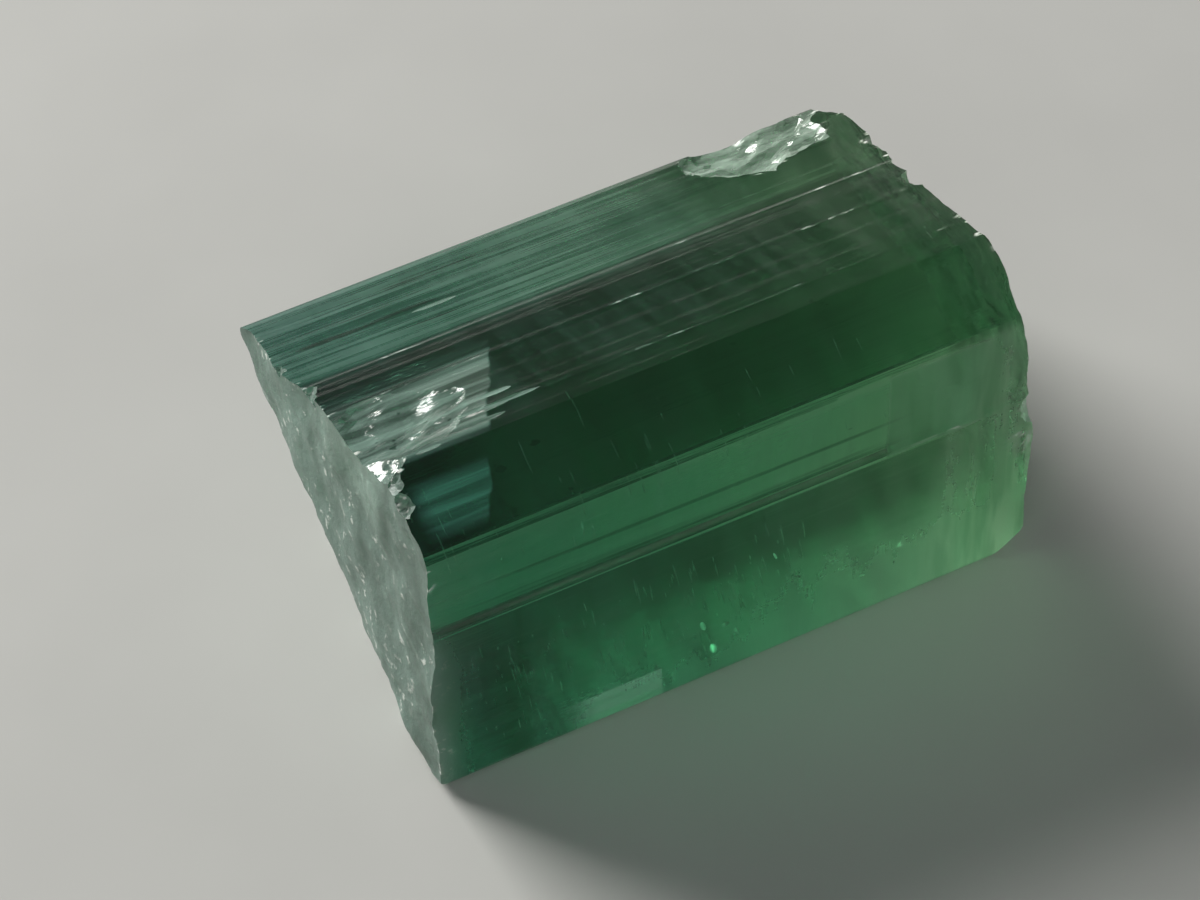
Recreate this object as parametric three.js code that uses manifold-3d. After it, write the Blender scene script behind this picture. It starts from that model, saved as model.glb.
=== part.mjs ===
// Tourmaline crystal: a stubby striated prism, broken across at both ends, lying on one side.
//
// Frame, in millimetres: +X runs along the prism (its c axis) from the pale frosted end at -X to
// the end with the bright corner at +X, +Z is up, and the origin is under the middle of the
// crystal on the surface that it lies on. The camera side of the crystal is -Y.

import * as THREE from 'three';
import { mergeVertices } from 'three/addons/utils/BufferGeometryUtils.js';
import Module from 'manifold-3d';

const wasm = await Module();
wasm.setup();

// ---- driving dimensions -------------------------------------------------------------------

const LENGTH = 20.8;           // furthest point of one broken end to the furthest of the other
const WIDTH = 13.9;            // across the prism at mid-length, resting on its underside
const HEIGHT = 10.7;           // underside to the highest ridge at mid-length
const SPARE = 2;               // extra prism at each end, which the breaks take off
const TAPER = 0.0012;          // growth of the cross-section for each millimetre towards +X
const STRIATION_DEPTH = 0.035; // how far the fine grooves cut into the side faces
const STRIATION_PITCH = 0.42;  // average distance from groove to groove
const RIM_ROUNDING = 0.22;     // worn underside edges, where the crystal bears on its support

// Ridges of the prism in the cross-section: y from the front edge, z from the underside.
const UNDERSIDE_FRONT = [RIM_ROUNDING, 0];
const FRONT_FOOT = [0, RIM_ROUNDING];
const FRONT_LOW_RIDGE = [0.1, 1.25];
const FRONT_RIDGE = [0.5, 6.55];
const SHOULDER = [0.8, 9.8];
const CREST = [3.3, HEIGHT];
const UPPER_RIDGE = [4.5, 10.3];
const MIDDLE_RIDGE = [7.2, 9.25];
const BACK_RIDGE = [9.1, 8.45];
const BACK_SHOULDER = [13.5, 6.85];
const BACK_EDGE = [WIDTH, 5.9];
const BACK_WAIST = [13.0, 3.1];
const BACK_FOOT = [11.5, RIM_ROUNDING];
const UNDERSIDE_BACK = [11.2, 0];

// Broken ends: where each one crosses the prism at the front foot, and how it leans over y and z.
const LEFT_END = { x: -10.3, leanY: -0.02, leanZ: 0.05, roughness: 0.12, phase: 0.4 };
const RIGHT_END = { x: 9.4, leanY: 0.1, roughness: 0.1, phase: 2.1 };
const LEFT_UNDERCUT = 0.115;   // slope with which the left end falls back at its lower rear
const RIGHT_END_FLAT = 3.0;    // the right end stops leaning this far in front of the middle
const RIGHT_FOOT = { stands: 0.4, from: 8.0, to: 5.5 };              // proud lower front part
const RIGHT_DIP = { depth: 0.3, y: -6.0, z: 9.8, spread: 1.3 };      // worn shoulder at the right

// Shell-shaped (conchoidal) breaks: ellipsoids that scoop into an edge.
const CHIPS = [
  // left end: a long shallow step on the upper face, then the bites that run into it
  { at: [-9.2, -0.9, 11.42], size: [4.7, 2.9, 2.2], turn: [-0.38, 0, 0.04] },
  { at: [-11.0, -2.1, 11.7], size: [2.6, 2.5, 2.3], turn: [0.1, 0.2, -0.2] },
  { at: [-11.6, 2.4, 10.2], size: [2.2, 1.7, 1.6], turn: [-0.3, 0.15, 0.1] },
  // right end: the long chip on the rear edge, and smaller ones on the crest and the front edge
  { at: [7.2, 6.35, 8.6], size: [3.8, 2.6, 1.95], turn: [-0.45, -0.06, 0.16] },
  { at: [10.9, 7.3, 7.2], size: [1.5, 1.7, 1.9], turn: [0, 0.1, -0.2] },
  { at: [9.95, -6.85, 6.25], size: [1.25, 0.85, 0.95], turn: [0.2, 0, 0.3] },
  { at: [10.1, -3.4, 11.3], size: [1.1, 1.5, 0.9], turn: [0.1, 0.4, 0] },
];

// Worn lower corner at the right: flat cuts, each given by a point on it and its facing.
const CORNER_CUTS = [
  { at: [9.1, -6.85, 0.3], facing: [0.9, -0.25, -0.6] },
  { at: [8.6, -6.9, 0.2], facing: [0.45, -0.55, -0.6] },
];

// ---- helpers ------------------------------------------------------------------------------

// Repeatable value between -1 and 1 for a whole number.
function scatter(i) {
  const s = Math.sin(i * 127.1 + 11.7) * 43758.5453;
  return 2 * (s - Math.floor(s)) - 1;
}

// Rolling unevenness of a break: long swells, then finer hackle.
function unevenness(y, z, phase) {
  const swell = Math.sin(0.55 * y + phase) * Math.cos(0.62 * z - phase);
  const ripple = Math.sin(1.7 * y - 1.1 * z + 2 * phase) + Math.sin(1.3 * z + 1.9 * y + phase);
  const hackle = Math.sin(4.6 * y + 2.9 * z) * Math.sin(3.7 * z - 2.2 * y + phase);
  return 0.55 * swell + 0.3 * ripple + 0.22 * hackle;
}

function toSolid(geometry) {
  const bare = geometry.clone();
  bare.deleteAttribute('normal');
  bare.deleteAttribute('uv');
  const merged = mergeVertices(bare, 1e-5);
  const vertProperties = new Float32Array(merged.attributes.position.array);
  const triVerts = new Uint32Array(merged.index.array);
  return new wasm.Manifold(new wasm.Mesh({ numProp: 3, vertProperties, triVerts }));
}

function toGeometry(solid) {
  const mesh = solid.getMesh();
  const geometry = new THREE.BufferGeometry();
  geometry.setAttribute('position', new THREE.BufferAttribute(new Float32Array(mesh.vertProperties), 3));
  geometry.setIndex(new THREE.BufferAttribute(new Uint32Array(mesh.triVerts), 1));
  geometry.computeVertexNormals();
  return geometry;
}

// ---- the prism ----------------------------------------------------------------------------

// One side face from ridge to ridge, cut into narrow strips by grooves that run along x.
function striatedFace(from, to, seed) {
  const start = new THREE.Vector2(...from);
  const end = new THREE.Vector2(...to);
  const along = end.clone().sub(start);
  const inward = new THREE.Vector2(along.y, -along.x).normalize();
  const strips = Math.max(1, Math.round(along.length() / STRIATION_PITCH));
  const points = [start];
  for (let i = 1; i < strips; i += 1) {
    const share = (i + 0.3 * scatter(seed + 3 * i)) / strips;
    const depth = STRIATION_DEPTH * (0.5 + 0.5 * scatter(seed + 7 * i));
    points.push(start.clone().addScaledVector(along, share).addScaledVector(inward, depth));
  }
  return points;
}

// The closed cross-section, from the front foot over the crest and down the back.
function crossSection() {
  const ridges = [FRONT_FOOT, FRONT_LOW_RIDGE, FRONT_RIDGE, SHOULDER, CREST, UPPER_RIDGE,
    MIDDLE_RIDGE, BACK_RIDGE, BACK_SHOULDER, BACK_EDGE, BACK_WAIST, BACK_FOOT];
  const points = ridges.slice(0, -1).flatMap((ridge, i) => striatedFace(ridge, ridges[i + 1], 17 * i));
  points.push(new THREE.Vector2(...BACK_FOOT), new THREE.Vector2(...UNDERSIDE_BACK));
  points.push(new THREE.Vector2(...UNDERSIDE_FRONT));
  return points;
}

function prism() {
  const shape = new THREE.Shape(crossSection());
  const geometry = new THREE.ExtrudeGeometry(shape, { depth: LENGTH + 2 * SPARE, bevelEnabled: false });
  // The shape's x and y become the part's y and z, and the extrusion runs along x.
  geometry.applyMatrix4(new THREE.Matrix4().makeBasis(
    new THREE.Vector3(0, 1, 0), new THREE.Vector3(0, 0, 1), new THREE.Vector3(1, 0, 0)));
  geometry.translate(-LENGTH / 2 - SPARE, 0, 0);
  const position = geometry.attributes.position;
  for (let i = 0; i < position.count; i += 1) {
    const growth = 1 + TAPER * position.getX(i);
    position.setY(i, position.getY(i) * growth - WIDTH / 2);
    position.setZ(i, position.getZ(i) * growth);
  }
  return toSolid(geometry);
}

// ---- the broken ends ----------------------------------------------------------------------

function leftBreak(y, z) {
  const fromFront = y + WIDTH / 2;
  const undercut = LEFT_UNDERCUT * Math.max(0, fromFront - 2.1 * z);
  return LEFT_END.x + LEFT_END.leanY * fromFront + LEFT_END.leanZ * z + undercut;
}

function rightBreak(y, z) {
  const foot = RIGHT_FOOT.stands * (1 - THREE.MathUtils.smoothstep(z, RIGHT_FOOT.to, RIGHT_FOOT.from));
  const away = Math.hypot(y - RIGHT_DIP.y, z - RIGHT_DIP.z) / RIGHT_DIP.spread;
  const dip = RIGHT_DIP.depth * Math.exp(-away * away);
  return RIGHT_END.x + RIGHT_END.leanY * Math.max(y, -RIGHT_END_FLAT) + foot - dip;
}

// A block that keeps what lies between the two uneven breaks.
function betweenBreaks() {
  const block = new THREE.BoxGeometry(LENGTH, WIDTH + SPARE, HEIGHT + SPARE, 1, 22, 18);
  block.translate(0, 0, HEIGHT / 2);
  const position = block.attributes.position;
  for (let i = 0; i < position.count; i += 1) {
    const y = position.getY(i);
    const z = position.getZ(i);
    const left = leftBreak(y, z) + LEFT_END.roughness * unevenness(y, z, LEFT_END.phase);
    const right = rightBreak(y, z) + RIGHT_END.roughness * unevenness(y, z, RIGHT_END.phase);
    position.setX(i, position.getX(i) < 0 ? left : right);
  }
  return toSolid(block);
}

// A rippled ellipsoid whose surface leaves a shell-shaped hollow.
function chip({ at, size, turn }) {
  const geometry = new THREE.IcosahedronGeometry(1, 7);
  const position = geometry.attributes.position;
  const point = new THREE.Vector3();
  for (let i = 0; i < position.count; i += 1) {
    point.fromBufferAttribute(position, i);
    const ripple = 0.03 * Math.sin(9 * point.x + 2 * point.y) + 0.02 * Math.sin(7 * point.y - 5 * point.z);
    point.multiplyScalar(1 + ripple);
    position.setXYZ(i, point.x, point.y, point.z);
  }
  geometry.scale(...size);
  geometry.applyMatrix4(new THREE.Matrix4().makeRotationFromEuler(new THREE.Euler(...turn)));
  geometry.translate(...at);
  return toSolid(geometry);
}

// A large block that stands on a flat cut and faces away from the crystal.
function beyondCut({ at, facing }) {
  const reach = 6;
  const geometry = new THREE.BoxGeometry(reach, reach, reach);
  geometry.translate(0, 0, reach / 2);
  const direction = new THREE.Vector3(...facing).normalize();
  const turn = new THREE.Quaternion().setFromUnitVectors(new THREE.Vector3(0, 0, 1), direction);
  geometry.applyQuaternion(turn);
  geometry.translate(...at);
  return toSolid(geometry);
}

// ---- the whole crystal --------------------------------------------------------------------

function crystal() {
  let solid = prism().intersect(betweenBreaks());
  for (const scoop of CHIPS) {
    solid = solid.subtract(chip(scoop));
  }
  for (const cut of CORNER_CUTS) {
    solid = solid.subtract(beyondCut(cut));
  }
  const geometry = toGeometry(solid);
  geometry.computeBoundingBox();
  const middle = geometry.boundingBox.getCenter(new THREE.Vector3());
  geometry.translate(-middle.x, -middle.y, -geometry.boundingBox.min.z);
  const material = new THREE.MeshStandardMaterial({ color: 0x2c5540, roughness: 0.12, metalness: 0 });
  const mesh = new THREE.Mesh(geometry, material);
  mesh.name = 'crystal';
  return mesh;
}

const object = new THREE.Group();
object.name = 'tourmaline_crystal';
object.add(crystal());

export default object;
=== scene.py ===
"""A loose tourmaline crystal on a pale floor: a Blender add-on that is run as a script.

The crystal is a stubby prism that lies on one side. Lengths in this file are in millimetres,
except those of the lights and of the settings, which are in metres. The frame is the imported
model's: +X along the prism from the frosted broken end to the end with the worn lower corner,
+Z up, -Y towards the viewer.
"""

import math

import bmesh
import bpy
import numpy as np
from bpy.props import FloatProperty, FloatVectorProperty, IntProperty, PointerProperty
from mathutils import Euler, Matrix, Vector, noise


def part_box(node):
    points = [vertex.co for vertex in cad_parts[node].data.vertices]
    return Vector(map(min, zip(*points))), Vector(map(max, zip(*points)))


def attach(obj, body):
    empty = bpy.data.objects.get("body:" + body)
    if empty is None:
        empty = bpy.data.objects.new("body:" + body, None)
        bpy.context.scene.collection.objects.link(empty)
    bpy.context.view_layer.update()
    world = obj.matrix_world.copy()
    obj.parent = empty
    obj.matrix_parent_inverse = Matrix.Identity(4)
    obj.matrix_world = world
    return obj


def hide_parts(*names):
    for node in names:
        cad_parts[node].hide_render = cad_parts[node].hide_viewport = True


bl_info = {
    "name": "Tourmaline crystal",
    "version": (1, 0, 0),
    "blender": (4, 5, 0),
    "location": "View3D > Sidebar > Crystal",
    "description": "Makes a broken green tourmaline prism, the flaws sealed in it and its stage",
    "category": "Add Mesh",
}

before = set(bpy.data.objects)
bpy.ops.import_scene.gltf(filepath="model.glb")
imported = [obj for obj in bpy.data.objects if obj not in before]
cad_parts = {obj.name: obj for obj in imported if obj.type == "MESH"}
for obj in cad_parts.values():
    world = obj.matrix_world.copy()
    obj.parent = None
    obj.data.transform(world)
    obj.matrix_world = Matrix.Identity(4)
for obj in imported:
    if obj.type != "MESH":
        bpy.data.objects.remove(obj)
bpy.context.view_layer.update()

MM = 0.001
NODE = "crystal"

# ---- the prism's cross-section: y from the front edge, z from the underside, in mm ----------

WIDTH = 13.9
HEIGHT = 10.7
LENGTH = 20.8
TAPER = 0.0012            # growth of the cross-section for each millimetre towards +X
SPARE = 1.5               # extra prism at each end, which the breaks take off
CREST_Y, CREST_Z = -3.65, 10.7
ROOF_FALL, FRONT_RISE = 0.385, 0.39   # slopes behind and in front of the crest

OUTLINE = [
    (0.22, 0.0), (0.06, 0.07), (0.0, 0.25), (0.1, 1.25), (0.26, 3.4), (0.46, 6.05), (0.5, 6.45),
    (0.48, 6.58), (0.56, 6.75), (0.62, 7.9), (0.77, 9.55), (0.92, 9.85), (3.1, 10.68),
    (3.4, 10.69), (4.35, 10.3), (4.45, 10.284), (4.55, 10.23), (7.1, 9.24), (7.17, 9.226),
    (7.28, 9.18), (8.98, 8.46), (9.05, 8.446), (9.16, 8.38), (11.3, 7.6), (13.35, 6.93),
    (13.65, 6.75), (13.9, 5.9), (13.55, 4.6), (13.0, 3.1), (12.3, 1.7), (11.55, 0.35),
    (11.4, 0.07), (11.15, 0.0),
]


def roof_height(y):
    """Height of the slanted upper side, which falls from the crest towards the back."""
    return CREST_Z - ROOF_FALL * (y - CREST_Y)


FRONT_RIDGE_Z = 6.55
ROOF_RIDGES = (4.45, 7.17, 9.05)      # y of the ridges that carry dotted nicks
DARK_LINES = (6.95, 7.12, 7.9)        # heights of the dark lines on the front face

# ---- the broken ends -------------------------------------------------------------------------

LEFT_X, LEFT_LEAN_Y, LEFT_LEAN_Z, LEFT_UNDERCUT = -10.3, -0.02, 0.05, 0.115
RIGHT_X, RIGHT_LEAN_Y, RIGHT_FLAT = 9.4, 0.1, 3.0
FOOT_STANDS, FOOT_FROM, FOOT_TO = 0.4, 8.0, 5.5
DIP_DEPTH, DIP_Y, DIP_Z, DIP_SPREAD = 0.3, -6.0, 9.8, 1.3
STEPS_Y, STEPS_Z, STEPS_APART, STEPS_HEIGHT = 3.0, 10.5, 1.5, 0.12
STEPS_HALF_Y, STEPS_MIDDLE_Z, STEPS_HALF_Z = 6.6, 4.7, 4.9    # the steps fade out at this oval
LEFT_SWELL, RIGHT_SWELL, GRAIN_DEPTH = 0.12, 0.1, 0.07
BREAK_SPACING = 0.14                  # distance between points of the breaks
BREAK_SEED = 5            # without it noise_vector would follow the clock, run by run
CUT_REACH, CUT_WAVE = 6.0, 0.06       # size of the corner cuts' tools, and their unevenness
SHARP_ANGLE = math.radians(14)        # edges that turn by more than this stay sharp
SHELL_RIPPLE, SHELL_RINGS = 0.014, 19  # height of a chip's ripples for its size, and how close

# Shell-shaped breaks: ellipsoids that scoop into an edge. The impact says where ripples centre.
CHIPS = [
    dict(at=(-9.2, -0.9, 11.42), size=(4.7, 2.9, 2.2), turn=(-0.38, 0, 0.04), impact=(-1, 0.3, 0)),
    dict(at=(-11.0, -2.1, 11.7), size=(2.6, 2.5, 2.3), turn=(0.1, 0.2, -0.2), impact=(0, 1, 0.2)),
    dict(at=(-11.6, 2.4, 10.2), size=(2.2, 1.7, 1.6), turn=(-0.3, 0.15, 0.1), impact=(0, 0, -1)),
    dict(at=(7.2, 6.35, 8.6), size=(3.8, 2.6, 1.95), turn=(-0.45, -0.06, 0.16), impact=(1, 0.4, -0.5),
         lumps=0.13),
    dict(at=(4.9, 6.9, 7.9), size=(2.5, 1.3, 1.1), turn=(-0.45, 0.06, 0.1), impact=(1, 0, 0), lumps=0.2),
    dict(at=(10.9, 7.3, 7.2), size=(1.5, 1.7, 1.9), turn=(0, 0.1, -0.2), impact=(0, -1, 0)),
    dict(at=(9.95, -6.85, 6.25), size=(1.25, 0.85, 0.95), turn=(0.2, 0, 0.3), impact=(0, 0, 1)),
    dict(at=(10.1, -3.4, 11.3), size=(1.1, 1.5, 0.9), turn=(0.1, 0.4, 0), impact=(0, 1, 0)),
]
# Worn lower corners, two cuts at the right and one at the left: a point on each, and its facing.
CORNER_CUTS = [
    dict(at=(9.1, -6.85, 0.3), facing=(0.9, -0.25, -0.6)),
    dict(at=(8.6, -6.9, 0.2), facing=(0.45, -0.55, -0.6)),
    dict(at=(-10.08, -6.85, 0.12), facing=(-0.75, -0.25, -0.6)),
]

# Splinters that lie along the prism on its upper side, by the frosted end.
SPLINTERS, SPLINTER_SEED = 16, 21
SPLINTER_X, SPLINTER_Y, SPLINTER_HALF_LENGTH = (-9.6, -5.6), (-3.3, 1.2), (0.5, 1.3)
LONE_SPLINTERS = [(-5.2, 3.9, 1.2), (-7.2, -2.9, 1.7)]
# Small bites that crumble the upper rim of the frosted end, and a few at the other end.
BITES_LEFT, BITES_RIGHT, BITE_SEED = 18, 3, 8
BITE_LEFT_Y, BITE_RIGHT_Y = (-5.6, 3.6), (-5.0, 4.5)
BITE_SIZE, BITE_TURN = (0.2, 0.6), (-0.6, 0.6)

# ---- flaws sealed in the crystal, in mm --------------------------------------------------------
# Each sheet of needles has a middle, two half sides, the way its needles point, how many there
# are in a square mm, their length and thickness, and how far they stray from the sheet.

ALONG, UPRIGHT = (1, 0, 0), (0, 0.85, 0.5)
VEILS = {
    "veil_foot": dict(
        at=(-4.6, -6.45, 0.85), side=(1.6, 0, 0), rise=(0, 0.02, 0.55), point=ALONG,
        density=70, size=(0.3, 0.03), stray=0.03, seed=7),
    "veil_corner": dict(
        at=(7.4, -6.4, 0.75), side=(1.9, 0, 0), rise=(0, 0.05, 0.45), point=ALONG,
        density=26, size=(0.7, 0.03), stray=0.12, seed=23),
    "veil_ledge": dict(
        at=(-7.9, 0.75, 8.7), side=(1.3, 0.1, 0), rise=(0, 0.25, -0.1), point=ALONG,
        density=60, size=(0.5, 0.035), stray=0.06, seed=29),
    "cracks_front": dict(
        at=(-3.2, -5.7, 2.6), side=(5.2, 0, 0), rise=(0, 0.05, 2.1), point=UPRIGHT,
        density=5.0, size=(1.1, 0.035), stray=0.35, seed=13),
    "cracks_upper": dict(
        at=(-1.0, -4.6, 8.2), side=(8.5, 0, 0), rise=(0, 1.0, 0.4), point=UPRIGHT,
        density=1.6, size=(0.8, 0.03), stray=0.6, seed=17),
    "cracks_right": dict(
        at=(7.9, -1.8, 9.3), side=(0.9, 0, 0), rise=(0, 1.8, -0.65), point=(0.25, 1, -0.38),
        density=1.4, size=(0.7, 0.04), stray=0.1, seed=19),
}
FLAKES = [
    dict(at=(-1.5, -6.3, 2.1), size=(0.09, 0.24, 0.02), turn=(0.28, -0.26, 0)),
    dict(at=(-0.75, -6.3, 1.75), size=(0.12, 0.12, 0.02), turn=(0.40, -0.20, 0.3)),
    dict(at=(-1.15, -6.3, 0.85), size=(0.11, 0.30, 0.02), turn=(0.22, -0.30, -0.1)),
    dict(at=(-0.35, -6.3, 1.2), size=(0.06, 0.20, 0.02), turn=(0.30, -0.10, 0)),
    dict(at=(0.9, -6.2, 3.9), size=(0.04, 0.20, 0.02), turn=(0.28, -0.26, 0)),
    dict(at=(5.2, -6.3, 2.1), size=(0.10, 0.10, 0.02), turn=(0.20, -0.35, 0.2)),
]

SIDE, BREAK, CHIP = 0, 1, 2    # kinds of surface, kept as material indices while cutting


# ---- small helpers ---------------------------------------------------------------------------

def add_object(name, data):
    """Object at the origin with a mesh, light or camera as its data."""
    obj = bpy.data.objects.new(name, data)
    bpy.context.scene.collection.objects.link(obj)
    return obj


def mesh_from(name, points, faces=(), edges=()):
    """Mesh from points in millimetres."""
    mesh = bpy.data.meshes.new(name)
    mesh.from_pydata([tuple(c * MM for c in p) for p in points], list(edges), list(faces))
    mesh.update()
    return mesh


def object_from(name, bm):
    """Object that takes over what was modelled in a bmesh."""
    mesh = bpy.data.meshes.new(name)
    bm.to_mesh(mesh)
    bm.free()
    return add_object(name, mesh)


def bake(obj):
    """Replaces the object's mesh and modifiers by the plain mesh that they make."""
    depsgraph = bpy.context.evaluated_depsgraph_get()
    mesh = bpy.data.meshes.new_from_object(obj.evaluated_get(depsgraph), depsgraph=depsgraph)
    if not mesh.polygons:
        raise RuntimeError(f"{obj.name} came out empty")
    obj.modifiers.clear()
    obj.data = mesh
    return mesh


def kind_slots(obj):
    """Material slots up to CHIP, so that faces can say which kind of surface they are."""
    while len(obj.data.materials) <= CHIP:
        obj.data.materials.append(None)


def as_tool(obj, kind):
    """Readies an object for cutting: all its faces leave one kind of surface."""
    kind_slots(obj)
    for polygon in obj.data.polygons:
        polygon.material_index = kind
    return obj


class Nodes:
    """Short calls that add nodes to a tree."""

    def __init__(self, tree):
        self.nodes, self.links = tree.nodes, tree.links

    def add(self, kind, inputs=None, **settings):
        """Adds a node; inputs maps a socket's name or index to a value or another socket."""
        made = self.nodes.new(kind)
        for key, value in settings.items():
            setattr(made, key, value)
        for key, value in (inputs or {}).items():
            if isinstance(value, bpy.types.NodeSocket):
                self.links.new(value, made.inputs[key])
            else:
                made.inputs[key].default_value = value
        return made

    def math(self, operation, a, b=0.0):
        return self.add("ShaderNodeMath", {0: a, 1: b}, operation=operation).outputs[0]


class Tree(Nodes):
    """A geometry-nodes tree with named inputs."""

    def __init__(self, name, inputs):
        self.group = bpy.data.node_groups.new(name, "GeometryNodeTree")
        super().__init__(self.group)
        ports = self.group.interface
        ports.new_socket("Geometry", in_out="INPUT", socket_type="NodeSocketGeometry")
        self.keys = {}
        for label, (kind, default) in inputs.items():
            socket = ports.new_socket(label, in_out="INPUT", socket_type=f"NodeSocket{kind}")
            if default is not None:
                socket.default_value = default
            self.keys[label] = socket.identifier
        ports.new_socket("Geometry", in_out="OUTPUT", socket_type="NodeSocketGeometry")
        self.source = self.nodes.new("NodeGroupInput")
        self.sink = self.nodes.new("NodeGroupOutput")

    def scale(self, vector, factor):
        return self.add("ShaderNodeVectorMath", {0: vector, 3: factor}, operation="SCALE").outputs[0]

    def times(self, vector, factors):
        return self.add("ShaderNodeVectorMath", {0: vector, 1: factors}, operation="MULTIPLY").outputs[0]

    def port(self, label):
        return self.source.outputs[label]

    def finish(self, geometry):
        """Ends the tree: realizes instances and dresses the result in the Material input."""
        realized = self.add("GeometryNodeRealizeInstances", {"Geometry": geometry})
        dressed = self.add("GeometryNodeSetMaterial", {
            "Geometry": realized.outputs[0], "Material": self.port("Material")})
        self.links.new(dressed.outputs[0], self.sink.inputs["Geometry"])
        return self

    def put_on(self, obj, **values):
        """Adds the tree to the object as a modifier, with its inputs set."""
        modifier = obj.modifiers.new(self.group.name, "NODES")
        modifier.node_group = self.group
        for label, value in values.items():
            modifier[self.keys[label]] = value


# ---- the prism -------------------------------------------------------------------------------

def prism_tree():
    """Sweeps the outline along X, then grooves it with noise drawn out along X."""
    tree = Tree("striated prism", {
        "Length": ("Float", 0.02), "Step": ("Float", 0.0001), "Rings": ("Int", 60),
        "Groove Depth": ("Float", 0.00002), "Groove Pitch": ("Float", 0.0003),
        "Swell Depth": ("Float", 0.00004), "Taper": ("Float", 1.0), "Material": ("Material", None),
    })
    outline = tree.add("GeometryNodeMeshToCurve", {"Mesh": tree.port("Geometry")})
    profile = tree.add("GeometryNodeResampleCurve", {
        "Curve": outline.outputs[0], "Length": tree.port("Step")}, mode="LENGTH")
    half = tree.math("MULTIPLY", tree.port("Length"), 0.5)
    start = tree.add("ShaderNodeCombineXYZ", {"X": tree.math("MULTIPLY", half, -1.0)})
    end = tree.add("ShaderNodeCombineXYZ", {"X": half})
    line = tree.add("GeometryNodeCurvePrimitiveLine", {"Start": start.outputs[0], "End": end.outputs[0]})
    rail = tree.add("GeometryNodeResampleCurve", {
        "Curve": line.outputs[0], "Count": tree.port("Rings")}, mode="COUNT")
    swept = tree.add("GeometryNodeCurveToMesh", {
        "Curve": rail.outputs[0], "Profile Curve": profile.outputs[0], "Fill Caps": True})
    grooved = tree.add("GeometryNodeSetPosition", {
        "Geometry": swept.outputs[0], "Offset": groove_offset(tree)})
    tapered = tree.add("GeometryNodeSetPosition", {
        "Geometry": grooved.outputs[0], "Position": tapered_position(tree)})
    return tree.finish(tapered.outputs[0])


def groove_offset(tree):
    """Offset along the normal: fine grooves and broad shallow swells that both run along X."""
    place = tree.add("GeometryNodeInputPosition").outputs[0]
    normal = tree.add("GeometryNodeInputNormal").outputs[0]
    pitch = tree.math("DIVIDE", 1.0, tree.port("Groove Pitch"))
    fine = tree.add("ShaderNodeTexNoise", {
        "Vector": tree.times(place, (0.012, 1.0, 1.0)), "Scale": pitch, "Detail": 3.0, "Roughness": 0.6})
    broad = tree.add("ShaderNodeTexNoise", {
        "Vector": tree.times(place, (0.05, 1.0, 1.0)), "Scale": tree.math("MULTIPLY", pitch, 0.16),
        "Detail": 1.0})
    centred_fine = tree.math("SUBTRACT", fine.outputs[0], 0.5)
    centred_broad = tree.math("SUBTRACT", broad.outputs[0], 0.5)
    depth = tree.math("ADD", tree.math("MULTIPLY", centred_fine, tree.port("Groove Depth")),
                      tree.math("MULTIPLY", centred_broad, tree.port("Swell Depth")))
    return tree.scale(normal, tree.math("MULTIPLY", depth, 2.0))


def tapered_position(tree):
    """The cross-section grows towards +X about the front foot."""
    place = tree.add("GeometryNodeInputPosition").outputs[0]
    x = tree.add("ShaderNodeSeparateXYZ", {0: place}).outputs[0]
    growth = tree.math("ADD", 1.0, tree.math("MULTIPLY", x, tree.port("Taper")))
    factors = tree.add("ShaderNodeCombineXYZ", {"X": 1.0, "Y": growth, "Z": growth})
    return tree.times(place, factors.outputs[0])


def make_prism(settings, material):
    """The unbroken grooved prism, longer than the crystal by SPARE at each end."""
    count = len(OUTLINE)
    # The sweep turns its profile half round, so the outline is drawn upside down and backwards.
    points = [(-y, -z, 0.0) for y, z in reversed(OUTLINE)]
    edges = [(i, (i + 1) % count) for i in range(count)]
    obj = add_object("tourmaline_prism", mesh_from("crystal outline", points, edges=edges))
    prism_tree().put_on(
        obj, **{
            "Length": (LENGTH + 2 * SPARE) * MM, "Step": settings.outline_step,
            "Rings": settings.rings, "Groove Depth": settings.groove_depth,
            "Groove Pitch": settings.groove_pitch, "Swell Depth": settings.swell_depth,
            "Taper": TAPER / MM, "Material": material})
    # The sweep starts from the front foot, which lies half a width in front of the middle.
    bake(obj).transform(Matrix.Translation((0, -WIDTH / 2 * MM, 0)))
    return obj


# ---- tools that break the prism --------------------------------------------------------------

def unevenness(y, z, phase):
    """Long swells of a break, as in the frame's solid, with its finer hackle drawn out unevenly."""
    swell = math.sin(0.55 * y + phase) * math.cos(0.62 * z - phase)
    ripple = math.sin(1.7 * y - 1.1 * z + 2 * phase) + math.sin(1.3 * z + 1.9 * y + phase)
    bend = noise.noise_vector(Vector((0.4 * y, 0.4 * z, phase)))
    hackle = noise.noise(Vector((1.1 * y + 2 * bend.x, 2.4 * z + 2 * bend.y, phase)))
    return 0.55 * swell + 0.3 * ripple + 0.35 * hackle


def grain(y, z, seed):
    """Fine irregular relief of a break, in mm."""
    return GRAIN_DEPTH * noise.fractal(Vector((0.8 * y, 0.8 * z, seed)), 1.0, 2.0, 4)


def terraces(y, z):
    """Shallow curved steps of the right end's break, round a point on its roof edge."""
    drift = noise.noise(Vector((0.45 * y, 0.45 * z, 7.0)))
    away = math.hypot(y - STEPS_Y, z - STEPS_Z) / STEPS_APART + 1.4 * drift
    rise = away - math.floor(away)
    inner = max(0.0, 1 - (y / STEPS_HALF_Y) ** 4 - ((z - STEPS_MIDDLE_Z) / STEPS_HALF_Z) ** 4)
    return STEPS_HEIGHT * inner * (rise ** 3 - 0.25)


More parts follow.
